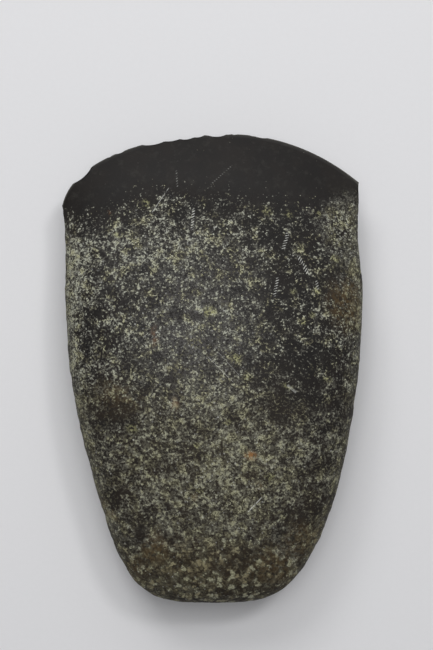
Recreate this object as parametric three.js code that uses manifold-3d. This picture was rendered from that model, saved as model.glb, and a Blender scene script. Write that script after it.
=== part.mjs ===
// A polished stone axe head, lying loose on one of its two domed faces.
// Millimetres: X across the blade, Y from the blunt butt to the cutting edge, Z up through the
// thickness. The origin is under the middle of the head, on the surface that it lies on.

import * as THREE from 'three';
import { mergeVertices } from 'three/addons/utils/BufferGeometryUtils.js';
import Module from 'manifold-3d';

// Overall sizes
const LENGTH = 110;            // from the butt to the crest of the cutting edge
const WIDTH = 70;              // from side to side, where the head is widest
const THICKNESS = 27;          // from face to face, where the head is thickest

// Outline seen from above, with places measured from the butt
const WIDEST_AT = 73;
const TAPER_POWER = 1.28;      // how straight the sides run in towards the butt
const BUTT_POWER = 3.8;        // how squarely the butt is rounded
const WAIST_DEPTH = 0.5;       // how far each side draws in behind the corners of the blade
const WAIST_LENGTH = 24;
const SWAY = 1.13;             // how far the middle line wanders aside, first right and then left
const SWAY_LENGTH = 160;
const LEFT_SWELL = 1.3;        // how much fuller the left side is than the right
const LEFT_SWELL_FROM = 18;
const LEFT_SWELL_LENGTH = 62;

// Cutting edge: a curve to each side of its crest, which falls back by its depth over its reach
const CREST_ASIDE = 4;
const LEFT_CURVE = { reach: 39.6, depth: 19, power: 2.09 };
const RIGHT_CURVE = { reach: 47.5, depth: 47.5, power: 1.95 };

// Profile seen from the side, with places measured from the butt
const THICKEST_AT = 45;
const HEEL_POWER = 1.6;        // how fast the butt swells to the full thickness
const HEEL_ROUNDING = 3;
const BLADE_POWER = 2.6;       // how full the faces stay before they close on the edge
const CURVE_FROM = 55;         // where the sections start to follow the curve of the edge

// Section across the head: its faces are domed and its sides are narrow and rounded
const FACE_DOME = 2.2;
const SIDE_ROUNDING = 3;

// The belly is worn flat just enough to lie still
const REST_DEPTH = 0.5;

// Chips broken out of the cutting edge, from left to right: place across the blade, width along
// the edge and bite into it
const EDGE_CHIPS = [
  { across: -30.8, width: 7.2, bite: 0.9 },
  { across: -21.7, width: 2.8, bite: 0.35 },
  { across: -13.6, width: 7.2, bite: 0.8 },
  { across: -9.6, width: 6.4, bite: 0.75 },
  { across: -6.2, width: 5.2, bite: 0.85 },
  { across: -3.6, width: 3.6, bite: 0.6 },
  { across: 0.9, width: 5.4, bite: 0.7 },
  { across: 11.2, width: 4.2, bite: 0.35 },
];
const EDGE_CHIP_HEIGHT = 7;
const EDGE_CHIP_LIFT = 1.2;    // the chips ran up the upper face more than the lower one

// Scars on the sides and butt: which side, place from the butt, width along the outline, height,
// bite, and lift above the middle plane
const SIDE_SCARS = [
  { side: 1, from: 6.3, width: 8, height: 17, bite: 0.5, lift: 3 },
  { side: 1, from: 19.4, width: 6, height: 15, bite: 0.25, lift: 4 },
  { side: 1, from: 69.8, width: 8, height: 13, bite: 0.3, lift: 2 },
  { side: -1, from: 0.5, width: 10, height: 12, bite: 0.5, lift: 2 },
  { side: -1, from: 21, width: 21, height: 22, bite: 0.32, lift: 2 },
  { side: -1, from: 45.2, width: 5, height: 12, bite: 0.25, lift: 2 },
  { side: -1, from: 73.6, width: 7, height: 12, bite: 0.22, lift: -1 },
];

// Fineness of the faceted surface
const RING_POINTS = 56;
const BUTT_STATIONS = 26;
const BLADE_STATIONS = 14;
const SCAR_SIDES = 36;
const SCAR_FULLNESS = 3;       // half depth of a scar's own ellipsoid, in bites
const CURVE_PASSES = 6;        // tries at finding where a point meets the curve of the edge

const wasm = await Module();
wasm.setup();

// A power that keeps the sign of what it is taken of
function signedPower(value, power) {
  return Math.sign(value) * Math.abs(value) ** power;
}

// Where the middle line runs at a distance from the butt
function middleLine(fromButt) {
  return SWAY * Math.sin(2 * Math.PI * fromButt / SWAY_LENGTH);
}

// A smooth rise and fall between 0, 1 and 0 over a stretch of the head
function hump(fromButt, start, length) {
  return Math.sin(Math.PI * THREE.MathUtils.clamp((fromButt - start) / length, 0, 1)) ** 2;
}

// Half the width at a distance from the butt
function halfWidth(fromButt) {
  const taper = Math.max(1 - fromButt / WIDEST_AT, 0);
  const waist = WAIST_DEPTH * hump(fromButt, WIDEST_AT, WAIST_LENGTH);
  return WIDTH / 2 * (1 - taper ** TAPER_POWER) ** (1 / BUTT_POWER) - waist;
}

// Where a section reaches at a share of its half width, from -1 at the left side to 1 at the right
function acrossPlace(fromButt, acrossShare) {
  const swell = LEFT_SWELL * hump(fromButt, LEFT_SWELL_FROM, LEFT_SWELL_LENGTH);
  return middleLine(fromButt) + halfWidth(fromButt) * acrossShare + swell * Math.min(acrossShare, 0);
}

// Half the thickness at a distance from the butt
function halfThickness(fromButt) {
  if (fromButt < THICKEST_AT) {
    const heel = 1 - fromButt / THICKEST_AT;
    return THICKNESS / 2 * (1 - heel ** HEEL_POWER) ** (1 / HEEL_ROUNDING);
  }
  const alongBlade = (fromButt - THICKEST_AT) / (LENGTH - THICKEST_AT);
  return THICKNESS / 2 * (1 - alongBlade ** BLADE_POWER);
}

// How far the cutting edge has fallen back from its crest at a place across the blade
function edgeFall(across) {
  const curve = across < CREST_ASIDE ? LEFT_CURVE : RIGHT_CURVE;
  const along = Math.min(Math.abs(across - CREST_ASIDE) / curve.reach, 1);
  return curve.depth * (1 - (1 - along ** curve.power) ** (1 / curve.power));
}

// A point of the surface: a station along the head and an angle round the section, where 0 is
// the right side and a quarter turn is the top
function surfacePoint(station, angle) {
  const acrossShare = signedPower(Math.cos(angle), 2 / FACE_DOME);
  const upShare = signedPower(Math.sin(angle), 2 / SIDE_ROUNDING);
  const follow = THREE.MathUtils.smoothstep(station, CURVE_FROM, LENGTH);
  let fromButt = station;
  for (let pass = 0; pass < CURVE_PASSES; pass += 1) {
    fromButt = station - edgeFall(acrossPlace(fromButt, acrossShare)) * follow;
  }
  const across = acrossPlace(fromButt, acrossShare);
  return new THREE.Vector3(across, fromButt, halfThickness(station) * upShare);
}

// Stations from the butt to the edge: by even angles round the butt, so that they crowd where
// the outline turns fastest, and then in even steps along the blade
function stationPlaces() {
  const places = [];
  for (let i = 0; i < BUTT_STATIONS; i += 1) {
    const turn = Math.PI / 2 * i / BUTT_STATIONS;
    places.push(WIDEST_AT * (1 - Math.cos(turn) ** (2 / TAPER_POWER)));
  }
  for (let i = 0; i <= BLADE_STATIONS; i += 1) {
    places.push(WIDEST_AT + (LENGTH - WIDEST_AT) * i / BLADE_STATIONS);
  }
  return places;
}

// The whole head before it was chipped: rings of points joined from station to station
function headGeometry() {
  const places = stationPlaces();
  const points = [];
  for (const place of places) {
    for (let j = 0; j < RING_POINTS; j += 1) {
      points.push(surfacePoint(place, 2 * Math.PI * j / RING_POINTS));
    }
  }
  const corners = [];
  for (let i = 0; i + 1 < places.length; i += 1) {
    for (let j = 0; j < RING_POINTS; j += 1) {
      const next = (j + 1) % RING_POINTS;
      const [a, b] = [i * RING_POINTS + j, i * RING_POINTS + next];
      const [c, d] = [a + RING_POINTS, b + RING_POINTS];
      if (i > 0) corners.push(a, d, b);
      corners.push(a, c, d);
    }
  }
  const geometry = new THREE.BufferGeometry().setFromPoints(points);
  geometry.setIndex(corners);
  return geometry;
}

// A closed surface as a solid that can be joined and cut
function toSolid(geometry) {
  const bare = geometry.clone();
  bare.deleteAttribute('normal');
  bare.deleteAttribute('uv');
  const merged = mergeVertices(bare, 1e-5);
  return new wasm.Manifold(new wasm.Mesh({
    numProp: 3,
    vertProperties: new Float32Array(merged.attributes.position.array),
    triVerts: new Uint32Array(merged.index.array),
  }));
}

// A solid as a surface to show
function toGeometry(solid) {
  const { vertProperties, triVerts } = solid.getMesh();
  const geometry = new THREE.BufferGeometry();
  geometry.setAttribute('position', new THREE.BufferAttribute(vertProperties, 3));
  geometry.setIndex(new THREE.BufferAttribute(triVerts, 1));
  geometry.computeVertexNormals();
  return geometry;
}

// The hollow that a flake left: an ellipsoid that bites into the outline at a point of it
function scarSolid({ point, outward, lift, width, height, bite }) {
  const depth = SCAR_FULLNESS * bite;
  const spread = 1 / Math.sqrt(1 - (1 - 1 / SCAR_FULLNESS) ** 2);
  const hollow = new THREE.SphereGeometry(1, SCAR_SIDES, SCAR_SIDES / 2);
  hollow.scale(width / 2 * spread, depth, height / 2 * spread);
  hollow.rotateZ(Math.atan2(outward.y, outward.x) - Math.PI / 2);
  const centre = point.clone().addScaledVector(outward, depth - bite);
  hollow.translate(centre.x, centre.y, lift);
  return toSolid(hollow);
}

// A unit vector out of the head, at right angles to the step between two points of its outline
function outwardOf(first, second) {
  return new THREE.Vector2(second.y - first.y, first.x - second.x).normalize();
}

function edgeChip({ across, width, bite }) {
  const step = width / 4;
  const edgeAt = (x) => new THREE.Vector2(x, LENGTH - edgeFall(x));
  return scarSolid({
    point: edgeAt(across),
    outward: outwardOf(edgeAt(across + step), edgeAt(across - step)),
    lift: EDGE_CHIP_LIFT,
    width,
    height: EDGE_CHIP_HEIGHT,
    bite,
  });
}

function sideScar({ side, from, width, height, bite, lift }) {
  const step = Math.min(width, from) / 4;
  const sideAt = (y) => new THREE.Vector2(acrossPlace(y, side), y);
  const outward = outwardOf(sideAt(from - step), sideAt(from + step)).multiplyScalar(side);
  return scarSolid({ point: sideAt(from), outward, lift, width, height, bite });
}

// What is ground off the belly, so that the head lies on a small flat
function belowRest() {
  const block = new THREE.BoxGeometry(WIDTH, LENGTH, THICKNESS);
  block.translate(0, LENGTH / 2, REST_DEPTH - THICKNESS);
  return toSolid(block);
}

function makeHead() {
  let stone = toSolid(headGeometry());
  for (const chip of EDGE_CHIPS) {
    stone = stone.subtract(edgeChip(chip));
  }
  for (const scar of SIDE_SCARS) {
    stone = stone.subtract(sideScar(scar));
  }
  return toGeometry(stone.subtract(belowRest()));
}

const stoneFinish = new THREE.MeshStandardMaterial({
  color: 0x47463f,
  roughness: 0.5,
  metalness: 0,
});

const head = new THREE.Mesh(makeHead(), stoneFinish);
head.name = 'axe_head';
head.geometry.computeBoundingBox();
const { min, max } = head.geometry.boundingBox;
head.position.set(-(min.x + max.x) / 2, -(min.y + max.y) / 2, -min.z);

const axe = new THREE.Group();
axe.add(head);

export default axe;
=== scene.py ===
"""A polished stone axe head on a pale floor: its fine surface and finish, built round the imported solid."""

import itertools
import math
from typing import NamedTuple

import bpy
import numpy as np
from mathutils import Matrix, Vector


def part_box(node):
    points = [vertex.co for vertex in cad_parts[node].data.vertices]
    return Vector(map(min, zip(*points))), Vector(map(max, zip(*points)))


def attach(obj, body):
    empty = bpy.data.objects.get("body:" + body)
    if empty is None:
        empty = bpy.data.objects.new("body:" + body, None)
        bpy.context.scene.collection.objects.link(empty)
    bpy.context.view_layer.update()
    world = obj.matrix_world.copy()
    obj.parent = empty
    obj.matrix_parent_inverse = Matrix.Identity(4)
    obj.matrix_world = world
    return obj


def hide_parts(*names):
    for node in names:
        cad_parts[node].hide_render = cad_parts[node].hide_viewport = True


bl_info = {
    "name": "Polished Stone Axe Head",
    "version": (1, 0, 0),
    "blender": (4, 5, 0),
    "location": "View3D > Sidebar > Stone Axe",
    "description": "Builds a ground, pecked and polished stone axe head on a pale floor",
    "category": "Add Mesh",
}

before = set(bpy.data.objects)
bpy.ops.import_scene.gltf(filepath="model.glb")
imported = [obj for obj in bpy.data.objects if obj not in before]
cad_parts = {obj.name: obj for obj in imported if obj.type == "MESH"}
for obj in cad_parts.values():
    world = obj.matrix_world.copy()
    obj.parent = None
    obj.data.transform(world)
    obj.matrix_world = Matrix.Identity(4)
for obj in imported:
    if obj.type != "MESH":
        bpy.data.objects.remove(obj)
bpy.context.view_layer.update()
HEAD_LOW, HEAD_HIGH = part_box("axe_head")
HEAD_SIZE = HEAD_HIGH - HEAD_LOW

MM = 0.001
BODY = "root"

# Places on the head are in millimetres: across to the right of its axis, and along from the butt


class EdgeChip(NamedTuple):
    """A bite out of the cutting edge."""

    across: float
    width: float
    bite: float


class SideScar(NamedTuple):
    """A flake scar on a side: side is 1 for the right and -1 for the left."""

    side: int
    along: float
    width: float
    height: float
    bite: float
    lift: float


class Patch(NamedTuple):
    """A soft-edged oval on the upper face, turned anticlockwise by degrees."""

    across: float
    along: float
    half_across: float
    half_along: float
    strength: float
    turn: float = 0


class Stroke(NamedTuple):
    """A straight mark on the upper face, from one end to the other."""

    start: tuple
    end: tuple
    width: float
    strength: float


class Rise(NamedTuple):
    """Where a border runs further from the butt: its place across, half its length and its height."""

    across: float
    half_length: float
    height: float


class NoiseLayer(NamedTuple):
    """Smooth random values over the mesh: their strength, their size in millimetres and their seed."""

    strength: float
    size: float
    seed: int


class Clouds(NamedTuple):
    """A noise of the shader: features to the unit of length, finer layers, and how strong those are."""

    scale: float
    detail: float
    roughness: float


def rows_of(kind, *rows):
    return tuple(kind(*row) for row in rows)


# Chips broken out of the cutting edge, and scars on the sides and butt, as in the solid
EDGE_CHIPS = rows_of(
    EdgeChip,
    (-30.8, 7.2, 0.9),
    (-21.7, 2.8, 0.35),
    (-13.6, 7.2, 0.8),
    (-9.6, 6.4, 0.75),
    (-6.2, 5.2, 0.85),
    (-3.6, 3.6, 0.6),
    (0.9, 5.4, 0.7),
    (11.2, 4.2, 0.35),
)
EDGE_CHIP_HEIGHT = 7 * MM
EDGE_CHIP_LIFT = 1.2 * MM
SIDE_SCARS = rows_of(
    SideScar,
    (1, 6.3, 8, 17, 0.5, 3),
    (1, 19.4, 6, 15, 0.25, 4),
    (1, 69.8, 8, 13, 0.3, 2),
    (-1, 0.5, 10, 12, 0.5, 2),
    (-1, 21, 21, 22, 0.32, 2),
    (-1, 45.2, 5, 12, 0.25, 2),
    (-1, 73.6, 7, 12, 0.22, -1),
)
SCAR_FULLNESS = 3              # half depth of a scar's own ellipsoid, in bites

# Small breaks finer than the chips and scars: how many, where, how wide and how deep
EDGE_NICKS = 34
EDGE_NICK_SEED = 5
EDGE_NICK_STRETCH = (-33, 12)
EDGE_NICK_WIDTHS = (0.7, 2.2)
EDGE_NICK_BITES = (0.08, 0.28)
SIDE_NICKS = 26
SIDE_NICK_SEED = 7
SIDE_NICK_STRETCH = (8, 54)
SIDE_NICK_WIDTHS = (1.6, 3.8)
SIDE_NICK_HEIGHTS = (8, 13)
SIDE_NICK_BITES = (0.42, 0.75)
SIDE_NICK_LIFTS = (-1.5, 2)

# Where pale pecking crowds together on the upper face, and where it is nearly absent
PALE_PATCHES = rows_of(
    Patch,
    (-4.9, 84.5, 12, 5.5, 0.22),
    (-16.6, 83.6, 7, 5, 0.26, 20),
    (30.4, 88.7, 4.5, 9, 0.26),
    (-1.9, 47.6, 8, 4, 0.17, 10),
    (9.7, 34, 14, 9, 0.13, -10),
    (19.5, 39.7, 6, 4, 0.12),
    (-26.8, 46.9, 4, 3, 0.15),
    (-32, 71.9, 3.5, 22, 0.22),
    (-22.9, 21.5, 3, 4.5, 0.2, 20),
    (-11.1, 24.7, 5, 5, 0.12),
    (5.9, 21.2, 7, 5, 0.14),
    (-9.8, 3.4, 14, 3, 0.2),
    (-0.6, 68.1, 2, 1.6, 0.3),
    (20.7, 65.9, 1.4, 1.2, 0.8),
    (25.8, 67.9, 2, 1.4, 0.5),
    (19.6, 82.8, 2, 2.6, 0.6),
    (5.6, 57.6, 2.6, 1.6, 0.3),
    (8.1, 53.4, 2, 1.4, 0.3),
    (26.3, 51.8, 2.4, 2, 0.5),
)
DARK_PATCHES = rows_of(
    Patch,
    (5.5, 11, 6, 5, 0.2),
    (21, 89, 4, 5, 0.15),
    (19.6, 79.7, 10, 16, 0.34),
    (24.3, 90.3, 3.5, 4, 0.3),
    (21.4, 53.3, 12.5, 12, 0.36),
    (-26.5, 89.1, 6, 5, 0.28),
    (0.5, 90.5, 9, 4.5, 0.25),
    (6.8, 78.6, 6, 7, 0.14),
    (1.5, 64, 8, 9, 0.07),
    (-21.1, 54.9, 4, 3, 0.15),
    (-8.7, 36.9, 7, 6, 0.1),
    (-18.5, 29.8, 5, 4, 0.1),
    (19.1, 34.9, 4, 3, 0.12),
    (24.1, 32.8, 3, 4, 0.2),
    (-22.4, 43.9, 6.5, 3.5, 0.4),
    (-22.4, 26.3, 3, 2.5, 0.35),
    (-18.5, 19.3, 3.5, 3, 0.35),
    (-6, 14.5, 4, 3, 0.15),
    (24.2, 24.4, 4, 3, 0.3),
    (19.1, 19.6, 4, 4, 0.25),
    (30.4, 45.4, 3, 6, 0.3),
    (-26.3, 62.1, 5, 7, 0.1),
    (-10.6, 51.4, 6, 5, 0.1),
)

# Fine pale scuffing together with a painted sheen of light over the middle of the upper face, and soil in
# the pores
SCUFF_AND_SHEEN_PATCHES = rows_of(
    Patch,
    (-3.8, 66, 16, 18, 1.0),
    (-19.5, 79.7, 9, 10, 0.5),
)
EARTH_PATCHES = rows_of(
    Patch,
    (-1.9, 8.1, 24, 10, 1.0),
    (0, 30, 28, 22, 0.5),
    (-23.3, 45.5, 6, 4, 0.7),
    (-23.3, 48.5, 4, 3, 0.6),
    (30.4, 69.9, 4, 6, 0.8),
    (23.5, 15, 5, 6, 1.0),
)

# Clumps of a yellowish mineral
CLUMPS = rows_of(
    Patch,
    (-0.4, 68.6, 1.4, 1.2, 0.9),
    (21, 65.9, 0.85, 0.77, 1.0),
    (23.4, 67.2, 0.77, 0.66, 0.8),
    (24.7, 73.2, 0.85, 0.85, 0.9),
    (28.3, 80.8, 0.85, 0.85, 0.8),
    (18.3, 73, 0.85, 0.66, 0.6),
    (20, 83, 1.4, 0.77, 0.7, 30),
    (5.7, 57.8, 1.2, 0.85, 0.9),
    (8.3, 53.3, 1.1, 0.85, 0.8),
    (26.5, 51.9, 1, 0.77, 0.8),
    (17.4, 51, 1.4, 0.55, 0.6, -30),
    (-16, 93.5, 0.77, 0.77, 0.7),
    (-21.8, 86.6, 1, 0.77, 0.7),
    (-3.9, 37.5, 1, 0.77, 0.7),
    (-18.6, 41, 1.5, 1, 0.6),
    (3.6, 43.4, 1, 0.77, 0.5),
    (-3.2, 26.8, 1.1, 0.85, 0.6),
    (12.1, 91.5, 1.1, 0.66, 0.7, -20),
    (16.8, 91, 0.85, 0.77, 0.6),
    (25, 91.4, 0.44, 0.44, 1.0),
    (13.1, 30.4, 1, 0.77, 0.6),
)

# Where pale grains lie edge to edge like a net, and where whole crushed grains show
NET_PATCHES = rows_of(
    Patch,
    (31.0, 88.6, 4.4, 9.0, 1.0),
    (27.5, 90.5, 2.5, 5.0, 0.5),
)
COARSE_PATCHES = rows_of(
    Patch,
    (30, 76.8, 2.4, 4, 0.5),
)

# Yellowish soil stains, and iron stains
OCHRE_PATCHES = rows_of(
    Patch,
    (-13.5, 13.5, 3.5, 4.5, 0.55, 20),
    (-18, 8, 4, 3, 0.3),
    (14.3, 9.5, 4.5, 5, 0.4, -30),
    (19.5, 15, 3, 5, 0.35),
    (30.5, 71, 3.2, 6.5, 0.5),
    (-4.7, 25.3, 0.8, 0.8, 0.8),
    (10.6, 28.3, 0.9, 0.9, 0.8),
    (-23.5, 23, 1.5, 3, 0.5, 20),
    (-22, 49, 5, 3, 0.3),
)
RUST_PATCHES = rows_of(
    Patch,
    (9, 35.3, 1.4, 1.0, 0.95),
    (-13.2, 62.6, 0.8, 2.2, 0.3),
    (-8.7, 46.6, 1.0, 1.6, 0.3),
    (-23.9, 91.3, 0.4, 0.4, 0.6),
)

# Bright scratches, and rows of short bruises left by a skidding tool
SCRATCHES = rows_of(
    Stroke,
    ((-10.1, 97.1), (-14.2, 90.9), 0.22, 0.5),
    ((11.3, 25.9), (7.9, 22.3), 0.3, 0.7),
    ((16.9, 51.5), (19.1, 49.7), 0.8, 0.33),
    ((-1.4, 58.2), (4.9, 51.9), 0.16, 0.4),
    ((1.0, 59.2), (6.3, 53.4), 0.14, 0.35),
)
BRUISE_ROWS = rows_of(
    Stroke,
    ((-4.4, 92.1), (-4.8, 86.9), 0.9, 0.8),
    ((17.3, 86.5), (16.1, 82.3), 1.1, 0.75),
    ((19.5, 81.2), (21.9, 76.8), 1.1, 0.75),
    ((14.9, 76.1), (14.0, 71.6), 0.9, 0.75),
    ((-8.5, 101.2), (-8.2, 97.0), 0.5, 0.3),
    ((-0.6, 97.6), (4.6, 102.4), 0.4, 0.22),
    ((23.8, 75.4), (24.1, 73.0), 0.9, 0.5),
)

# Where the polish begins, from the butt, and over what length the pecking fades into it
BAND_START = 92
BAND_RISES = (Rise(-12, 12, 5), Rise(6, 10, 3), Rise(-35, 7, 0.5), Rise(30, 9, 4.3))
BAND_FADE = (4, -5)

# Other borders, each from where a finish fades out to where it is full: in millimetres along or
# across, as shares of the half thickness, or as a distance from the middle plane
BUTT_FADE = (24, 9)
WORN_FADE = (66, 42)
LEFT_FADE = (0, -10)
UPPER_FADE = (-0.1, 0.25)
SIDE_FADE = (0.68, 0.45)
EDGE_FADE = (0.2 * MM, 0.02 * MM)

# How the borders and patches wander, and how the pecking drifts and crowds
WANDER_SEEDS = (11, 21, 31)
BROAD_WANDER = (1.9 * MM, 8)
FINE_WANDER = (0.6 * MM, 2.6)
CROWDING_LAYERS = (NoiseLayer(0.6, 4.5, 41), NoiseLayer(0.4, 1.8, 42))
DRIFT_LAYERS = (NoiseLayer(1, 16, 43),)

# How pale the pecking is: all over, and what drift, crowding, the sides and wear add
PALE_BASE = 0.36
PALE_DRIFT = 0.08
PALE_CROWDING = 0.14
PALE_SIDE = 0.2
PALE_LEFT_SIDE = 0.05
PALE_WORN = 0.04

# Relief
SWELL_LAYERS = (NoiseLayer(1, 17, 51), NoiseLayer(0.5, 7, 52))
PIT_LAYERS = (NoiseLayer(1, 2.4, 61), NoiseLayer(0.6, 1.4, 71))
PIT_REACH = 0.55
GRIT_LAYERS = (NoiseLayer(1, 1.1, 81), NoiseLayer(0.6, 0.6, 82))
SIDE_LAYERS = (NoiseLayer(2.4, 2.6, 83),)
SHARP_ROWS = 6                 # rows of points behind the edge over which the relief dies out

# What the shader draws, from the finest marks to the broadest stains
WOBBLE = Clouds(1.3, 3, 0.5)
BUMPS = Clouds(3.2, 3, 0.65)
SPARKLE = Clouds(3.6, 1, 0.6)
SCUFF_AND_SHEEN_CLOUDS = Clouds(2.2, 3, 0.7)
WEAVE = Clouds(1.75, 1, 0.62)
GRAIN = Clouds(1.6, 3, 0.6)
BREAKS = Clouds(1.1, 2, 0.6)
WEAVE_TONE = Clouds(0.85, 2, 0.6)
LUMPS = Clouds(0.75, 3, 0.6)
CROWDS = Clouds(0.42, 3, 0.62)
SMUDGES = Clouds(0.5, 4, 0.72)
TINTS = Clouds(0.3, 4, 0.7)
BLOTCHES = Clouds(0.16, 4, 0.6)
OCHRE_CLOUDS = Clouds(0.8, 3, 0.65)
RUST_CLOUDS = Clouds(1.1, 3, 0.6)
PAPER_FIBRES = Clouds(900, 3, 0.6)

# How far the wobble bends fine pecking, and how far it bends crushed grains
SLIGHT_BEND = 0.6
STRONG_BEND = 2.2

# How densely the pecking lies, and how crisp it is
CROWD_MIDDLE = 0.51
CROWDING = 3.0
CROWDING_WORN_OFF = 1.2
DENSITY_PER_PALE = 1.3
DENSITY_POLISHED_OFF = 1.15
WEAVE_MIDDLE = 0.585
WEAVE_PER_DENSITY = 1.7
CRISPNESS = 10.5
CRISPNESS_WORN_OFF = 4.0

# Grains to the millimetre, and how much each kind of mark adds to the pale tone
SMALL_CELLS = 2.3
MEDIUM_CELLS = 1.35
COARSE_CELLS = 0.66
CRYSTAL_CELLS = 1.3
FINE_SHARE = 0.8
MEDIUM_SHARE = 0.95
SMALL_SHARE = 0.36
LUMP_SHARE = 0.6

# The smallest bruises, the rows of bruises, and how strongly the thinnest layers of paint cover
FLECK_SPACING = 0.44
FLECK_FILL = 0.6
FLECK_SHIFT = (23, 46, 69)
FLECK_STRENGTH = 0.75
BRUISE_SPACING = 0.62
BRUISE_LEAN = 6.0
SMUDGE_STRENGTH = 0.09
# How strongly the fine scuffing and its painted sheen of light cover
SCUFF_AND_SHEEN_STRENGTH = 0.5
EDGE_STRENGTH = 0.5
GROUND_ROUGHNESS = 0.62
POLISH_GLOSS = 0.16
BUMP_DEPTH = 0.12 * MM

# Masks kept with the mesh for the shader
MASKS = ("pale", "haze", "earth", "ochre", "rust", "clump", "coarse", "net", "polish", "worn", "edge")

LIGHTS = ("left_lamp", "right_lamp", "top_panel", "back_panel")

# Odd numbers that spread the corners of a lattice into unlike random values
HASH_FACTORS = (374761393, 668265263, 2246822519)
HASH_MIXER = 1274126177
WALK_STEPS = 20000             # steps along an outline when its points are spread evenly
CURVE_PASSES = 6               # tries at finding where a point meets the curve of the edge


def colour(red, green, blue):
    """A screen colour from 0 to 255 as the linear colour that a shader takes."""
    shares = np.array((red, green, blue)) / 255
    linear = np.where(shares <= 0.04045, shares / 12.92, ((shares + 0.055) / 1.055) ** 2.4)
    return tuple(float(share) for share in linear)


def in_mm(name, description, millimetres):
    return bpy.props.FloatProperty(
        name=name, description=description, default=millimetres * MM, min=0, unit="LENGTH", precision=5
    )


def as_share(name, description, default):
    return bpy.props.FloatProperty(name=name, description=description, default=default, min=0, max=10)


def as_power(name, watts):
    return bpy.props.FloatProperty(
        name=name, description="Power of this light", default=watts, min=0, unit="POWER"
    )


def as_place(name, metres):
    return bpy.props.FloatVectorProperty(
        name=name, description="Where this light stands", default=metres, subtype="TRANSLATION"
    )


def as_paint(name, description, *screen_colour):
    return bpy.props.FloatVectorProperty(
        name=name, description=description, default=colour(*screen_colour), size=3, min=0, max=1,
        subtype="COLOR",
    )


class AxeHeadSizes(bpy.types.PropertyGroup):
    """The form of the head and the depth of its relief."""

    length: in_mm("Length", "From the butt to the crest of the edge", HEAD_SIZE.y / MM)
    width: in_mm("Width", "From side to side at the widest", 70)
    rest_depth: in_mm("Rest depth", "What the belly has worn off where it rests", 0.5)
    thickness: in_mm("Thickness", "From face to face before the belly wore", HEAD_SIZE.z / MM + 0.5)
    widest_at: in_mm("Widest at", "From the butt", 73)
    taper_power: as_share("Taper", "How straight the sides run in", 1.28)
    butt_power: as_share("Butt", "How squarely the butt is rounded", 3.8)
    waist_depth: in_mm("Waist depth", "How far the sides draw in behind the corners", 0.5)
    waist_length: in_mm("Waist length", "How long the drawn-in stretch is", 24)
    sway: in_mm("Sway", "How far the middle line wanders aside", 1.13)
    sway_length: in_mm("Sway length", "One whole wander, right and left", 160)
    left_swell: in_mm("Left swell", "How much fuller the left side is", 1.3)
    left_swell_from: in_mm("Left swell from", "From the butt", 18)
    left_swell_length: in_mm("Left swell length", "How long the fuller stretch is", 62)
    crest_aside: in_mm("Crest aside", "Where the edge reaches furthest", 4)
    left_reach: in_mm("Left reach", "How far the left curve of the edge runs", 39.6)
    left_depth: in_mm("Left depth", "How far the left curve falls back", 19)
    left_power: as_share("Left curve", "How full the left curve is", 2.09)
    right_reach: in_mm("Right reach", "How far the right curve would run", 47.5)
    right_depth: in_mm("Right depth", "How far the right curve would fall back", 47.5)
    right_power: as_share("Right curve", "How full the right curve is", 1.95)
    thickest_at: in_mm("Thickest at", "From the butt", 45)
    heel_power: as_share("Heel", "How fast the butt swells", 1.6)
    heel_rounding: as_share("Heel rounding", "How squarely the butt's profile is rounded", 3)
    blade_power: as_share("Blade", "How full the faces stay towards the edge", 2.6)
    curve_from: in_mm("Curve from", "Where sections start to follow the edge", 55)
    face_dome: as_share("Face dome", "How flat the faces are", 2.2)
    side_rounding: as_share("Side rounding", "How flat the sides are", 3)
    ring_points: bpy.props.IntProperty(
        name="Ring points", description="Points round each section", default=360, min=16, step=2
    )
    stations: bpy.props.IntProperty(
        name="Stations", description="Sections from butt to edge", default=258, min=16
    )
    swell: in_mm("Swell", "Height of the broad unevenness left by grinding", 0.1)
    pit_depth: in_mm("Pit depth", "Depth of the pecking marks", 0.13)
    grit: in_mm("Grit", "Height of the fine roughness between pecking marks", 0.05)


class StoneColours(bpy.types.PropertyGroup):
    """The colours of the stone."""

    ground: as_paint("Ground", "The dark ground stone", 28, 26, 25)
    ground_brown: as_paint("Brown ground", "Warmer stretches of the ground", 36, 32, 29)
    earth: as_paint("Earth", "Soil stain on the rough parts", 48, 40, 29)
    rust: as_paint("Rust", "Iron stain", 138, 98, 58)
    ochre: as_paint("Ochre", "Yellowish soil stain", 90, 74, 48)
    tan: as_paint("Tan", "Crushed grains with soil in them", 120, 109, 80)
    dull_grey: as_paint("Dull grey", "Half-cleared pecking, greyish", 97, 96, 89)
    dull_olive: as_paint("Dull olive", "Half-cleared pecking, olive", 95, 92, 75)
    pale_grey: as_paint("Pale grey", "Fresh pecking, greyish", 170, 172, 158)
    pale_olive: as_paint("Pale olive", "Fresh pecking, yellowish", 168, 167, 138)
    mineral: as_paint("Mineral", "Clumps of a yellowish mineral", 152, 152, 104)
    white: as_paint("White", "The smallest bruises", 205, 206, 200)
    # Fine scuffing and a painted sheen of light share this pale grey
    haze: as_paint("Haze", "Fine scuffing", 112, 110, 108)


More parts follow.
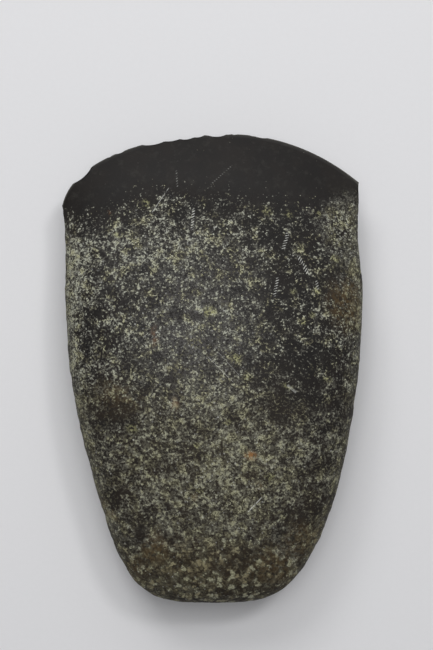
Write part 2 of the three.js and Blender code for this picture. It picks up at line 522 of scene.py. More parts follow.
class StudioSettings(bpy.types.PropertyGroup):
    """The floor, lights and camera."""

    floor_size: in_mm("Floor size", "Side of the square floor", 3000)
    floor_colour: as_paint("Floor colour", "Pale paper", 226, 226, 228)
    sky_colour: as_paint("Sky colour", "Soft light from all round", 238, 238, 240)
    sky_strength: as_share("Sky strength", "Brightness of the light from all round", 0.17)
    left_lamp_size: in_mm("Left lamp size", "Side of the lamp beyond the left corner", 260)
    left_lamp_place: as_place("Left lamp place", (-0.22, 0.5, 0.6))
    left_lamp_power: as_power("Left lamp power", 1.3)
    right_lamp_size: in_mm("Right lamp size", "Side of the lamp beyond the right corner", 140)
    right_lamp_place: as_place("Right lamp place", (0.29, 0.34, 0.8))
    right_lamp_power: as_power("Right lamp power", 1.35)
    top_panel_size: in_mm("Top panel size", "Side of the panel overhead", 500)
    top_panel_place: as_place("Top panel place", (0, 0.14, 0.9))
    top_panel_power: as_power("Top panel power", 3.2)
    back_panel_size: in_mm("Back panel size", "Side of the panel beyond the edge", 800)
    back_panel_place: as_place("Back panel place", (0, 0.75, 0.6))
    back_panel_power: as_power("Back panel power", 2.3)
    lens: bpy.props.FloatProperty(
        name="Lens", description="Focal length in millimetres", default=100, min=1, unit="CAMERA"
    )
    camera_height: in_mm("Camera height", "Above the middle of the thickness", 423.5)
    camera_right: in_mm("Camera right", "Right of the middle of the head", 1.0)
    camera_forward: in_mm("Camera forward", "Beyond the middle of the head", 10.15)


def lattice_random(corners, seed):
    """A random value from 0 to 1 for each corner of a lattice, always the same for a seed."""
    mixed = np.full(corners.shape[:-1], seed * HASH_MIXER % 2**32, np.uint64)
    for axis, factor in enumerate(HASH_FACTORS):
        mixed ^= (corners[..., axis].astype(np.int64) * factor).astype(np.uint64) & 0xFFFFFFFF
        mixed = (mixed ^ (mixed >> np.uint64(15))) * np.uint64(HASH_MIXER) & np.uint64(0xFFFFFFFF)
    mixed ^= mixed >> np.uint64(13)
    return mixed.astype(float) / 2**32


def smooth_noise(points, size, seed):
    """Smooth random values from -1 to 1 that change over about the given size."""
    cells = points / size
    base = np.floor(cells).astype(np.int64)
    share = cells - base
    ease = share * share * (3 - 2 * share)
    total = np.zeros(points.shape[:-1])
    for corner in itertools.product((0, 1), repeat=3):
        weight = np.prod(np.where(corner, ease, 1 - ease), axis=-1)
        total += weight * lattice_random(base + np.array(corner), seed)
    return total * 2 - 1


def layered_noise(points, layers):
    return sum(layer.strength * smooth_noise(points, layer.size * MM, layer.seed) for layer in layers)


def nearest_pit(points, size, seed):
    """The distance to the nearest of scattered pits, in pit spacings, and that pit's own random value."""
    cells = points / size
    base = np.floor(cells).astype(np.int64)
    nearest = np.full(points.shape[:-1], np.inf)
    value = np.zeros(points.shape[:-1])
    for corner in itertools.product((-1, 0, 1), repeat=3):
        cell = base + np.array(corner)
        spot = cell + np.stack([lattice_random(cell, seed + axis) for axis in range(3)], axis=-1)
        distance = np.linalg.norm(cells - spot, axis=-1)
        closer = distance < nearest
        nearest = np.where(closer, distance, nearest)
        value = np.where(closer, lattice_random(cell, seed + 3), value)
    return nearest, value


def ramp(value, low, high):
    """A smooth step from 0 at low to 1 at high, also where low is the greater."""
    share = np.clip((value - low) / (high - low), 0, 1)
    return share * share * (3 - 2 * share)


def signed_power(value, power):
    return np.sign(value) * np.abs(value) ** power


def middle_line(sizes, along):
    return sizes.sway * np.sin(2 * np.pi * along / sizes.sway_length)


def rise_and_fall(along, start, length):
    """A smooth rise and fall between 0, 1 and 0 over a stretch of the head."""
    return np.sin(np.pi * np.clip((along - start) / length, 0, 1)) ** 2


def half_width(sizes, along):
    taper = np.maximum(1 - along / sizes.widest_at, 0)
    waist = sizes.waist_depth * rise_and_fall(along, sizes.widest_at, sizes.waist_length)
    return sizes.width / 2 * (1 - taper**sizes.taper_power) ** (1 / sizes.butt_power) - waist


def across_place(sizes, along, share):
    """Where a section reaches at a share of its half width, from -1 at the left to 1 at the right."""
    swell = sizes.left_swell * rise_and_fall(along, sizes.left_swell_from, sizes.left_swell_length)
    return middle_line(sizes, along) + half_width(sizes, along) * share + swell * np.minimum(share, 0)


def half_thickness(sizes, along):
    heel = np.maximum(1 - along / sizes.thickest_at, 0)
    swelling = (1 - heel**sizes.heel_power) ** (1 / sizes.heel_rounding)
    blade = np.clip((along - sizes.thickest_at) / (sizes.length - sizes.thickest_at), 0, 1)
    return sizes.thickness / 2 * swelling * (1 - blade**sizes.blade_power)


def curve_fall(distance, reach, depth, power):
    share = np.clip(distance / reach, 0, 1)
    return depth * (1 - (1 - share**power) ** (1 / power))


def edge_fall(sizes, across):
    """How far the cutting edge has fallen back from its crest at a place across the blade."""
    aside = across - sizes.crest_aside
    left = curve_fall(-aside, sizes.left_reach, sizes.left_depth, sizes.left_power)
    right = curve_fall(aside, sizes.right_reach, sizes.right_depth, sizes.right_power)
    return np.where(aside < 0, left, right)


def even_along(path, values, count, closed=False):
    """Values picked so that the points of a path, one for each value, come at even distances."""
    steps = np.linalg.norm(np.diff(path, axis=0), axis=1)
    walked = np.concatenate([[0], np.cumsum(steps)])
    return np.interp(np.linspace(0, walked[-1], count, endpoint=not closed), walked, values)


def even_angles(sizes):
    """Angles round the section, from the right side over the top, that space its points evenly."""
    angles = np.linspace(0, 2 * np.pi, WALK_STEPS + 1)
    across = sizes.width / 2 * signed_power(np.cos(angles), 2 / sizes.face_dome)
    up = sizes.thickness / 2 * signed_power(np.sin(angles), 2 / sizes.side_rounding)
    return even_along(np.stack([across, up], axis=1), angles, sizes.ring_points, closed=True)


def even_stations(sizes):
    """Stations from the butt to the edge that space the rings evenly over the butt and blade."""
    turns = np.linspace(0, np.pi / 2, WALK_STEPS)
    butt = sizes.widest_at * (1 - np.cos(turns) ** (2 / sizes.taper_power))
    blade = np.linspace(sizes.widest_at, sizes.length, WALK_STEPS)[1:]
    places = np.concatenate([butt, blade])
    path = np.stack([places, half_width(sizes, places), half_thickness(sizes, places)], axis=1)
    return even_along(path, places, sizes.stations)


def head_surface(sizes):
    """The unbroken form of the head as a grid of points, stations by angles, with shares of its section."""
    angles = even_angles(sizes)
    station = even_stations(sizes)[:, None]
    across_share = signed_power(np.cos(angles), 2 / sizes.face_dome)[None, :]
    up_share = signed_power(np.sin(angles), 2 / sizes.side_rounding)[None, :]
    follow = ramp(station, sizes.curve_from, sizes.length)
    along = station + 0 * across_share
    for _ in range(CURVE_PASSES):
        along = station - edge_fall(sizes, across_place(sizes, along, across_share)) * follow
    across = across_place(sizes, along, across_share)
    up = half_thickness(sizes, station) * up_share
    return np.stack([across, along, up], axis=-1), up_share + 0 * along


def grid_normals(grid):
    """Outward unit normals of a closed ring grid."""
    round_step = np.roll(grid, -1, axis=1) - np.roll(grid, 1, axis=1)
    along_step = np.gradient(grid, axis=0)
    normals = np.cross(along_step, round_step)
    normals[0] = (0, -1, 0)
    return normals / np.maximum(np.linalg.norm(normals, axis=-1, keepdims=True), 1e-12)


def scoop_out(grid, point, outward, lift, width, height, bite):
    """Pushes what lies in a flake's hollow, an ellipsoid, back onto the far side of that hollow."""
    depth = SCAR_FULLNESS * bite
    spread = 1 / math.sqrt(1 - (1 - 1 / SCAR_FULLNESS) ** 2)
    centre = np.append(point + outward * (depth - bite), lift)
    offset = grid - centre
    sideways = (offset[..., 0] * outward[1] - offset[..., 1] * outward[0]) / (width / 2 * spread)
    out = (offset[..., 0] * outward[0] + offset[..., 1] * outward[1]) / depth
    up = offset[..., 2] / (height / 2 * spread)
    far_side = -np.sqrt(np.maximum(1 - sideways**2 - up**2, 0))
    inside = (sideways**2 + up**2 < 1) & (out > far_side) & (out < 2)
    move = np.where(inside, (far_side - out) * depth, 0)
    grid[..., 0] += move * outward[0]
    grid[..., 1] += move * outward[1]


def outward_of(first, second):
    step = second - first
    return np.array((step[1], -step[0])) / np.hypot(*step)


def chip_edge(sizes, grid, chip):
    def edge_at(across):
        return np.array((across, sizes.length - float(edge_fall(sizes, across))))

    across, width, bite = chip.across * MM, chip.width * MM, chip.bite * MM
    outward = outward_of(edge_at(across + width / 4), edge_at(across - width / 4))
    scoop_out(grid, edge_at(across), outward, EDGE_CHIP_LIFT, width, EDGE_CHIP_HEIGHT, bite)


def scar_side(sizes, grid, scar):
    def side_at(along):
        return np.array((float(across_place(sizes, along, scar.side)), along))

    along, width = scar.along * MM, scar.width * MM
    step = min(width, along) / 4
    outward = outward_of(side_at(along - step), side_at(along + step)) * scar.side
    scoop_out(
        grid, side_at(along), outward, scar.lift * MM, width, scar.height * MM, scar.bite * MM
    )


def patch_cover(points, patches):
    """How strongly patches cover each point, seen from above."""
    cover = np.zeros(points.shape[:-1])
    for patch in patches:
        turn = math.radians(patch.turn)
        x = points[..., 0] / MM - patch.across
        y = points[..., 1] / MM - patch.along
        u = (x * math.cos(turn) + y * math.sin(turn)) / patch.half_across
        v = (y * math.cos(turn) - x * math.sin(turn)) / patch.half_along
        cover = np.maximum(cover, patch.strength * ramp(np.hypot(u, v), 1.5, 0.2))
    return cover


def band_limit(across):
    """How far from the butt the polished band behind the edge begins, in millimetres."""
    limit = np.full(across.shape, float(BAND_START))
    for rise in BAND_RISES:
        limit += rise.height * np.exp(-(((across - rise.across) / rise.half_length) ** 2))
    return limit


def wander(grid):
    """How far the borders and patches are moved about, so that none is a plain curve."""
    (broad, broad_size), (fine, fine_size) = BROAD_WANDER, FINE_WANDER
    moves = [
        layered_noise(grid, (NoiseLayer(broad, broad_size, seed), NoiseLayer(fine, fine_size, seed + 1)))
        for seed in WANDER_SEEDS
    ]
    return np.stack(moves, axis=-1)


def surface_masks(grid, up_share):
    """Where each finish of the stone shows, as values from 0 to 1 for each point."""
    moved = wander(grid)
    place = grid + moved
    across, along = place[..., 0] / MM, place[..., 1] / MM
    upper = ramp(up_share, *UPPER_FADE)
    rough = ramp(along - band_limit(across), *BAND_FADE)
    side = ramp(np.abs(up_share), *SIDE_FADE) * rough
    butt = ramp(along, *BUTT_FADE)
    worn = ramp(along, *WORN_FADE) * upper
    left = ramp(across, *LEFT_FADE)
    crowding = layered_noise(grid, CROWDING_LAYERS)
    drift = layered_noise(grid, DRIFT_LAYERS)
    pale = PALE_BASE + PALE_DRIFT * drift + PALE_CROWDING * crowding
    pale += upper * (patch_cover(place, PALE_PATCHES) - patch_cover(place, DARK_PATCHES))
    pale += (PALE_SIDE + PALE_LEFT_SIDE * left) * side + PALE_WORN * worn
    # Fine scuffing, and a painted sheen of light over the middle of the upper face
    haze = upper * patch_cover(place, SCUFF_AND_SHEEN_PATCHES) * (0.75 + 0.4 * crowding)
    earth = upper * patch_cover(place, EARTH_PATCHES) + (1 - upper) * ramp(drift, 0.1, 0.6) * 0.5
    coarse = butt + (0.5 - 0.25 * left) * side + upper * patch_cover(place, COARSE_PATCHES)
    return {
        "pale": np.clip(pale, 0, 1) * rough,
        "haze": np.clip(haze, 0, 1) * rough,
        "earth": np.clip(earth + 0.25 * side, 0, 1) * rough,
        "ochre": upper * patch_cover(place, OCHRE_PATCHES),
        "rust": upper * patch_cover(grid + moved * 0.4, RUST_PATCHES),
        "clump": upper * patch_cover(grid + moved * 0.6, CLUMPS),
        "coarse": np.clip(coarse, 0, 1) * rough,
        "net": upper * patch_cover(place, NET_PATCHES) * rough,
        "polish": 1 - rough,
        "worn": worn,
        "edge": ramp(np.abs(grid[..., 2]), *EDGE_FADE) * (1 - rough),
    }


def roughen(sizes, grid, up_share, masks):
    """Adds the relief: the unevenness of grinding, pecking pits and grit, but none at the sharp edge."""
    normals = grid_normals(grid)
    rough = 1 - masks["polish"]
    to_side = ramp(np.abs(up_share), 0.9, 0.5)
    pecked = rough * np.clip(0.35 + 0.65 * to_side + 0.5 * masks["coarse"], 0, 1)
    height = sizes.swell * layered_noise(grid, SWELL_LAYERS) * (0.35 + 0.65 * rough)
    for layer in PIT_LAYERS:
        distance, value = nearest_pit(grid, layer.size * MM, layer.seed)
        bowl = np.clip(1 - (distance / PIT_REACH) ** 2, 0, 1) * (0.4 + 0.6 * value)
        height = height - sizes.pit_depth * layer.strength * bowl * pecked
    height = height + sizes.grit * layered_noise(grid, GRIT_LAYERS) * pecked
    ragged = layered_noise(grid, SIDE_LAYERS) * ramp(np.abs(up_share), 0.6, 0.2)
    height = height + sizes.grit * ragged * rough
    to_edge = np.linspace(1, 0, grid.shape[0])[:, None]
    height = height * ramp(to_edge, 0, SHARP_ROWS / grid.shape[0])
    height = height - height.max()
    return grid + normals * np.minimum(height, 0)[..., None]


def nick_edge(sizes, grid):
    """Small breaks along the left and middle of the cutting edge, finer than the chips."""
    random = np.random.default_rng(EDGE_NICK_SEED)
    for _ in range(EDGE_NICKS):
        across, width = random.uniform(*EDGE_NICK_STRETCH), random.uniform(*EDGE_NICK_WIDTHS)
        chip_edge(sizes, grid, EdgeChip(across, width, random.uniform(*EDGE_NICK_BITES)))


def nick_side(sizes, grid):
    """Small breaks down the left side, which the pecking left ragged."""
    random = np.random.default_rng(SIDE_NICK_SEED)
    for _ in range(SIDE_NICKS):
        along, width = random.uniform(*SIDE_NICK_STRETCH), random.uniform(*SIDE_NICK_WIDTHS)
        height, bite = random.uniform(*SIDE_NICK_HEIGHTS), random.uniform(*SIDE_NICK_BITES)
        lift = random.uniform(*SIDE_NICK_LIFTS)
        scar_side(sizes, grid, SideScar(-1, along, width, height, bite, lift))


def index_grid(stations, ring):
    """The vertex number of each grid point: the butt is one point, and the edge is one line."""
    index = np.zeros((stations, ring), np.int64)
    inner = (stations - 2) * ring
    index[1:-1] = 1 + np.arange(inner).reshape(stations - 2, ring)
    round_place = np.arange(ring)
    index[-1] = 1 + inner + np.minimum(round_place, ring - round_place)
    return index


def grid_mesh(name, grid, masks):
    """One closed mesh of quads with the masks as its attributes."""
    stations, ring = grid.shape[:2]
    index = index_grid(stations, ring)
    count = int(index.max()) + 1
    first = index[:-1]
    second = index[1:]
    quads = np.stack([first, second, np.roll(second, -1, 1), np.roll(first, -1, 1)], axis=-1)
    butt = quads[0][:, :3]
    faces = [*butt.tolist(), *quads[1:].reshape(-1, 4).tolist()]
    points = np.zeros((count, 3))
    points[index.ravel()] = grid.reshape(-1, 3)
    mesh = bpy.data.meshes.new(name)
    mesh.from_pydata(points.tolist(), [], faces)
    for mask, values in masks.items():
        flat = np.zeros(count, np.float32)
        flat[index.ravel()] = values.ravel()
        mesh.attributes.new(mask, "FLOAT", "POINT").data.foreach_set("value", flat)
    mesh.shade_smooth()
    mesh.validate()
    return mesh


class Shader:
    """A material under construction, with short names for its nodes."""

    def __init__(self, name):
        self.material = bpy.data.materials.new(name)
        self.material.use_nodes = True
        self.tree = self.material.node_tree
        self.tree.nodes.clear()

    def node(self, kind, inputs=None, **settings):
        """A node with its settings made, and its inputs linked to sockets or set to values."""
        made = self.tree.nodes.new(kind)
        for setting, value in settings.items():
            setattr(made, setting, value)
        for key, value in (inputs or {}).items():
            if isinstance(value, bpy.types.NodeSocket):
                self.tree.links.new(value, made.inputs[key])
            else:
                made.inputs[key].default_value = value
        return made

    def calc(self, operation, *values, clamp=False):
        inputs = dict(enumerate(values))
        return self.node("ShaderNodeMath", inputs, operation=operation, use_clamp=clamp).outputs[0]

    def times(self, first, *others):
        for other in others:
            first = self.calc("MULTIPLY", first, other)
        return first

    def line(self, value, slope, offset, clamp=False):
        """The value times the slope, plus the offset."""
        return self.calc("MULTIPLY_ADD", value, slope, offset, clamp=clamp)

    def step(self, value, low, high):
        """A smooth step from 0 at low to 1 at high, also where low is the greater."""
        inputs = {"Value": value, "From Min": low, "From Max": high}
        if low > high:
            inputs |= {"From Min": high, "From Max": low, "To Min": 1.0, "To Max": 0.0}
        return self.node("ShaderNodeMapRange", inputs, interpolation_type="SMOOTHSTEP").outputs[0]

    def mix(self, factor, first, second):
        """Colours mixed, from only the first at 0 to only the second at 1."""
        inputs = {0: factor}
        for socket, value in ((6, first), (7, second)):
            inputs[socket] = value if isinstance(value, bpy.types.NodeSocket) else (*value, 1.0)
        return self.node("ShaderNodeMix", inputs, data_type="RGBA").outputs[2]

    def vector(self, operation, *values):
        inputs = dict(enumerate(values))
        return self.node("ShaderNodeVectorMath", inputs, operation=operation).outputs[0]

    def clouds(self, place, kind, output="Fac"):
        inputs = {"Vector": place, "Scale": kind.scale, "Detail": kind.detail, "Roughness": kind.roughness}
        return self.node("ShaderNodeTexNoise", inputs).outputs[output]

    def cells(self, place, scale):
        """How far each point is from the middle of its cell, and three random values of the cell."""
        made = self.node("ShaderNodeTexVoronoi", {"Vector": place, "Scale": scale})
        own = self.node("ShaderNodeSeparateColor", {0: made.outputs["Color"]})
        return made.outputs["Distance"], own.outputs

    def finish(self, inputs):
        """The material, with the inputs of its surface."""
        surface = self.node("ShaderNodeBsdfPrincipled", inputs)
        self.node("ShaderNodeOutputMaterial", {0: surface.outputs[0]})
        return self.material


class StoneShader(Shader):
    """Dark ground stone with pale pecking, scuffing, stains and scratches, drawn in millimetres."""

    def __init__(self, name, colours, origin):
        super().__init__(name)
        self.colours = colours
        self.masks = {
            mask: self.node("ShaderNodeAttribute", attribute_name=mask).outputs["Fac"] for mask in MASKS
        }
        object_place = self.node("ShaderNodeTexCoord").outputs["Object"]
        self.place = self.vector("MULTIPLY", self.vector("SUBTRACT", object_place, origin), (1 / MM,) * 3)
        wobble = self.vector("SUBTRACT", self.clouds(self.place, WOBBLE, "Color"), (0.5,) * 3)
        self.bent = self.vector("MULTIPLY_ADD", wobble, (SLIGHT_BEND,) * 3, self.place)
        self.crushed = self.vector("MULTIPLY_ADD", wobble, (STRONG_BEND,) * 3, self.place)
        self.weave = self.clouds(self.bent, WEAVE)
        self.unpolished = self.calc("SUBTRACT", 1.0, self.masks["polish"])
        self.density = self.pecking_density()

    def pecking_density(self):
        """How densely the pale pecking lies: at 0 or less there is hardly any."""
        crowd = self.calc("SUBTRACT", self.clouds(self.place, CROWDS), CROWD_MIDDLE)
        density = self.times(crowd, self.line(self.masks["worn"], -CROWDING_WORN_OFF, CROWDING))
        density = self.line(self.masks["pale"], DENSITY_PER_PALE, density)
        return self.line(self.masks["polish"], -DENSITY_POLISHED_OFF, density)

    def fine_pecking(self):
        """A close network of pale lines and spots."""
        crispness = self.line(self.masks["worn"], -CRISPNESS_WORN_OFF, CRISPNESS)
        fine = self.times(self.calc("SUBTRACT", self.weave, WEAVE_MIDDLE), crispness)
        fine = self.line(self.density, WEAVE_PER_DENSITY, fine, clamp=True)
        tone = self.step(self.clouds(self.bent, WEAVE_TONE), 0.36, 0.64)
        return self.times(fine, self.line(tone, 0.6, 0.4))

    def grains(self, place, scale, density):
        """Crushed grains: the share of them that shows is the density, each with its own tone."""
        distance, own = self.cells(place, scale)
        shown = self.step(self.calc("SUBTRACT", density, own[0]), -0.1, 0.14)
        core = self.step(distance, 0.75, 0.3)
        tone = self.line(self.calc("POWER", own[1], 1.5), 0.8, 0.2)
        return self.times(shown, core, tone)

    def coarse_grains(self):
        """Whole grains, as at the butt, and a random value of each."""
        distance, own = self.cells(self.crushed, COARSE_CELLS)
        grains = self.times(self.step(distance, 0.66, 0.16), self.calc("POWER", own[0], 1.1))
        grains = self.times(grains, self.line(self.weave, 4.6, -0.5))
        grains = self.times(grains, self.line(self.density, 1.3, 0.45, clamp=True))
        return grains, own[1]

    def crystals(self):
        """Pale grains edge to edge."""
        distance, own = self.cells(self.crushed, CRYSTAL_CELLS)
        return self.times(self.step(distance, 0.72, 0.2), self.line(own[0], 0.6, 0.5))

    def flecks(self):
        """The smallest bruises: round spots, a share of them shown, each with a brightness of its own."""
        moved = self.vector("ADD", self.place, FLECK_SHIFT)
        distance, own = self.cells(moved, 1 / FLECK_SPACING)
        share = self.line(self.masks["pale"], 0.24, -0.045)
        share = self.line(self.masks["haze"], 0.1, share)
        shown = self.step(self.calc("SUBTRACT", share, own[0]), -0.04, 0.08)
        reach = self.line(own[2], FLECK_FILL * 0.5, FLECK_FILL * 0.55)
        spot = self.step(self.calc("SUBTRACT", reach, distance), -0.05, 0.18)
        bright = self.line(own[1], 0.6, 0.4)
        return self.times(spot, shown, bright, self.times(self.unpolished, self.weave))

    def off_stroke(self, x, y, stroke):
        """How far a point is along a stroke, from 0 to 1, and how far left of its line."""
        start, end = Vector(stroke.start), Vector(stroke.end)
        step = (end - start).normalized()
        run = (end - start).length
        from_x = self.calc("SUBTRACT", x, start.x)
        from_y = self.calc("SUBTRACT", y, start.y)
        along = self.line(from_x, step.x / run, self.times(from_y, step.y / run))
        aside = self.line(from_x, -step.y, self.times(from_y, step.x))
        return along, aside

    def stroke_mark(self, x, y, stroke):
        """One scratch, or one row of bruises, from 0 to its strength."""
        along, aside = self.off_stroke(x, y, stroke)
        ends = self.times(self.step(along, 0.0, 0.08), self.step(along, 1.0, 0.92))
        across = self.step(self.calc("ABSOLUTE", aside), stroke.width / 2, stroke.width / 6)
        mark = self.times(ends, across)
        if stroke in BRUISE_ROWS:
            run = (Vector(stroke.end) - Vector(stroke.start)).length
            turns = self.times(along, 2 * math.pi * run / BRUISE_SPACING)
            wave = self.calc("SINE", self.line(aside, BRUISE_LEAN, turns))
            mark = self.times(mark, self.step(wave, 0.1, 0.9))
        return self.times(mark, stroke.strength)

    def stroke_marks(self):
        """All scratches and rows of bruises on the upper face, with breaks in them."""
        split = self.node("ShaderNodeSeparateXYZ", {0: self.place}).outputs
        upper = self.step(split[2], 0.0, 2.0)
        total = 0.0
        for stroke in SCRATCHES + BRUISE_ROWS:
            total = self.calc("MAXIMUM", total, self.stroke_mark(split[0], split[1], stroke))
        breaks = self.step(self.clouds(self.place, BREAKS), 0.34, 0.48)
        return self.times(total, upper, breaks)

    def ground(self):
        """The colour of the stone between its marks."""
        colours, masks, place = self.colours, self.masks, self.place
        brown = self.times(
            self.step(self.clouds(place, BLOTCHES), 0.38, 0.62), self.line(masks["worn"], 0.6, 0.4)
        )
        base = self.mix(brown, colours.ground, colours.ground_brown)
        smudges = self.times(self.step(self.clouds(place, SMUDGES), 0.5, 0.72), SMUDGE_STRENGTH)
        base = self.mix(smudges, base, colours.dull_grey)
        soil = self.times(masks["earth"], self.step(self.clouds(place, GRAIN), 0.22, 0.62))
        base = self.mix(soil, base, colours.earth)
        # Fine scuffing, and a painted sheen of light, laid over the middle of the upper face
        scuffs_and_sheen = self.times(masks["haze"], self.step(self.clouds(place, SCUFF_AND_SHEEN_CLOUDS), 0.36, 0.62))
        return self.mix(self.times(scuffs_and_sheen, SCUFF_AND_SHEEN_STRENGTH), base, colours.haze)

    def build(self):
        colours, masks, place = self.colours, self.masks, self.place
        small = self.grains(self.bent, SMALL_CELLS, self.density)
        medium = self.grains(self.crushed, MEDIUM_CELLS, self.line(self.density, 0.5, -0.08))
        medium = self.times(medium, self.unpolished)
        lump = self.line(self.clouds(self.bent, LUMPS), 7.0, -4.5)
        lump = self.times(self.line(self.density, 0.9, lump, clamp=True), self.unpolished)
        amount = self.times(self.fine_pecking(), FINE_SHARE)
        amount = self.line(medium, MEDIUM_SHARE, amount)
        amount = self.line(small, SMALL_SHARE, amount)
        amount = self.line(lump, LUMP_SHARE, amount)
        clump = self.times(masks["clump"], self.line(self.weave, 7.0, -3.1, clamp=True))
        amount = self.calc("MAXIMUM", amount, clump)

        coarse, coarse_value = self.coarse_grains()
        amount = self.times(amount, self.line(masks["coarse"], -0.65, 1.0))
        amount = self.calc("ADD", amount, self.times(coarse, masks["coarse"]), clamp=True)
        amount = self.times(amount, self.line(masks["worn"], -0.2, 0.97))
        inputs = {0: masks["net"], 2: amount, 3: self.crystals()}
        amount = self.node("ShaderNodeMix", inputs).outputs[0]
        sparkle = self.line(self.clouds(place, SPARKLE), 3.4, -1.7)
        sparkle = self.times(sparkle, self.line(masks["worn"], -0.6, 1.0))
        amount = self.calc("MULTIPLY", amount, self.calc("ADD", sparkle, 1.0), clamp=True)

        tint = self.step(self.clouds(place, TINTS), 0.47, 0.64)
        for source, share in (
            (masks["earth"], 0.6),
            (lump, 0.5),
            (medium, 0.4),
            (masks["worn"], 0.2),
            (masks["clump"], 1.0),
        ):
            tint = self.line(source, share, tint)
        tint = self.line(masks["net"], 0.15, tint, clamp=True)
        dull = self.mix(tint, colours.dull_grey, colours.dull_olive)
        fresh = self.mix(tint, colours.pale_grey, colours.pale_olive)
        painted = self.mix(self.calc("MULTIPLY", amount, 2.0, clamp=True), self.ground(), dull)
        painted = self.mix(self.line(amount, 2.0, -1.0, clamp=True), painted, fresh)
        painted = self.mix(self.calc("MULTIPLY", clump, 0.6, clamp=True), painted, colours.mineral)
        painted = self.mix(self.times(self.flecks(), FLECK_STRENGTH), painted, colours.white)
        soiled = self.times(masks["coarse"], self.step(coarse_value, 0.45, 0.7), masks["earth"])
        soiled = self.times(soiled, self.calc("MULTIPLY", amount, 0.9, clamp=True))
        painted = self.mix(soiled, painted, colours.tan)
        for mask, kind, ends, stain in (
            ("ochre", OCHRE_CLOUDS, (0.38, 0.6), colours.ochre),
            ("rust", RUST_CLOUDS, (0.36, 0.58), colours.rust),
        ):
            strength = self.times(masks[mask], self.step(self.clouds(place, kind), *ends))
            painted = self.mix(strength, painted, stain)
        painted = self.mix(self.stroke_marks(), painted, colours.white)
        painted = self.mix(self.times(masks["edge"], EDGE_STRENGTH), painted, colours.dull_grey)

        shine = self.line(masks["polish"], -POLISH_GLOSS, GROUND_ROUGHNESS)
        roughness = self.line(amount, 0.25, shine)
        roughness = self.line(self.clouds(place, GRAIN), 0.1, roughness, clamp=True)
        bumps = self.times(self.clouds(place, BUMPS), self.line(masks["polish"], -0.8, 1.0))
        height = self.line(amount, -0.7, bumps)
        bump = self.node("ShaderNodeBump", {"Height": height, "Strength": 0.6, "Distance": BUMP_DEPTH})
        return self.finish(
            {
                "Base Color": painted,
                "Roughness": roughness,
                "Normal": bump.outputs[0],
                "Specular IOR Level": 0.17,
            }
        )


class AXE_OT_head(bpy.types.Operator):
    """Build the ground and pecked stone head in the place of its solid"""

    bl_idname = "stone_axe.head"
    bl_label = "Axe head"

    def execute(self, context):
        sizes = context.scene.axe_head_sizes
        grid, up_share = head_surface(sizes)
        masks = surface_masks(grid, up_share)
        grid = roughen(sizes, grid, up_share, masks)
        for chip in EDGE_CHIPS:
            chip_edge(sizes, grid, chip)
        nick_edge(sizes, grid)
        for scar in SIDE_SCARS:
            scar_side(sizes, grid, scar)
        nick_side(sizes, grid)
        rest_height = sizes.rest_depth - sizes.thickness / 2
        grid[..., 2] = np.maximum(grid[..., 2], rest_height)
        low, high = grid.min(axis=(0, 1)), grid.max(axis=(0, 1))
        middle = (HEAD_LOW + HEAD_HIGH) / 2
        shift = np.array((middle.x, middle.y, HEAD_LOW.z)) - (*(low + high)[:2] / 2, low[2])
        head = bpy.data.objects.new("stone_axe_head", grid_mesh("stone_axe_head", grid + shift, masks))
        context.scene.collection.objects.link(head)
        shader = StoneShader("ground_stone", context.scene.stone_colours, tuple(shift))
        head.data.materials.append(shader.build())
        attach(head, BODY)
        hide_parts("axe_head")
        return {"FINISHED"}


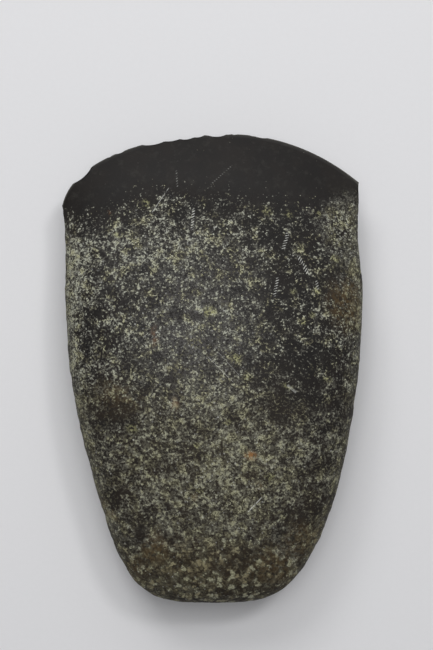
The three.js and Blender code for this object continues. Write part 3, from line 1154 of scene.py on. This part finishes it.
class AXE_OT_studio(bpy.types.Operator):
    """Set out the pale floor, the soft lights and the camera"""

    bl_idname = "stone_axe.studio"
    bl_label = "Studio"

    def execute(self, context):
        settings = context.scene.studio_settings
        self.make_floor(context, settings)
        self.make_lights(context, settings)
        self.make_camera(context, settings)
        context.scene.view_settings.view_transform = "Standard"
        return {"FINISHED"}

    def make_floor(self, context, settings):
        half = settings.floor_size / 2
        corners = [(-half, -half, 0), (half, -half, 0), (half, half, 0), (-half, half, 0)]
        mesh = bpy.data.meshes.new("floor")
        mesh.from_pydata(corners, [], [(0, 1, 2, 3)])
        floor = bpy.data.objects.new("floor", mesh)
        floor.location.z = HEAD_LOW.z
        context.scene.collection.objects.link(floor)
        shader = Shader("pale_paper")
        fibres = shader.clouds(shader.node("ShaderNodeTexCoord").outputs["Object"], PAPER_FIBRES)
        darker = tuple(channel * 0.97 for channel in settings.floor_colour)
        bump = shader.node("ShaderNodeBump", {"Height": fibres, "Strength": 0.1, "Distance": 0.1 * MM})
        inputs = {
            "Base Color": shader.mix(fibres, settings.floor_colour, darker),
            "Roughness": 0.9,
            "Normal": bump.outputs[0],
            "Specular IOR Level": 0.2,
        }
        mesh.materials.append(shader.finish(inputs))

    def make_lights(self, context, settings):
        world = bpy.data.worlds.new("soft_sky")
        world.use_nodes = True
        background = world.node_tree.nodes["Background"]
        background.inputs["Color"].default_value = (*settings.sky_colour, 1.0)
        background.inputs["Strength"].default_value = settings.sky_strength
        context.scene.world = world
        for name in LIGHTS:
            light = bpy.data.lights.new(name, "AREA")
            light.size = getattr(settings, name + "_size")
            light.energy = getattr(settings, name + "_power")
            panel = bpy.data.objects.new(name, light)
            panel.location = getattr(settings, name + "_place")
            panel.rotation_euler = (-panel.location).to_track_quat("-Z", "Y").to_euler()
            context.scene.collection.objects.link(panel)

    def make_camera(self, context, settings):
        data = bpy.data.cameras.new("camera")
        data.lens = settings.lens
        data.sensor_width = 36
        camera = bpy.data.objects.new("camera", data)
        middle = (HEAD_LOW + HEAD_HIGH) / 2
        camera.location = middle + Vector(
            (settings.camera_right, settings.camera_forward, settings.camera_height)
        )
        context.scene.collection.objects.link(camera)
        context.scene.camera = camera


class AXE_PT_panel(bpy.types.Panel):
    """The sizes and colours of the axe head, and the buttons that build it"""

    bl_idname = "AXE_PT_panel"
    bl_label = "Stone Axe"
    bl_space_type = "VIEW_3D"
    bl_region_type = "UI"
    bl_category = "Stone Axe"

    def draw(self, context):
        scene = context.scene
        groups = (scene.axe_head_sizes, scene.stone_colours, scene.studio_settings)
        for operator in (AXE_OT_head, AXE_OT_studio):
            self.layout.operator(operator.bl_idname)
        for group in groups:
            box = self.layout.box()
            for name in group.__annotations__:
                box.prop(group, name)


CLASSES = (AxeHeadSizes, StoneColours, StudioSettings, AXE_OT_head, AXE_OT_studio, AXE_PT_panel)


def register():
    for cls in CLASSES:
        bpy.utils.register_class(cls)
    bpy.types.Scene.axe_head_sizes = bpy.props.PointerProperty(type=AxeHeadSizes)
    bpy.types.Scene.stone_colours = bpy.props.PointerProperty(type=StoneColours)
    bpy.types.Scene.studio_settings = bpy.props.PointerProperty(type=StudioSettings)


def unregister():
    del bpy.types.Scene.studio_settings
    del bpy.types.Scene.stone_colours
    del bpy.types.Scene.axe_head_sizes
    for cls in reversed(CLASSES):
        bpy.utils.unregister_class(cls)


def main():
    register()
    bpy.ops.stone_axe.head()
    bpy.ops.stone_axe.studio()


if __name__ == "__main__":
    main()
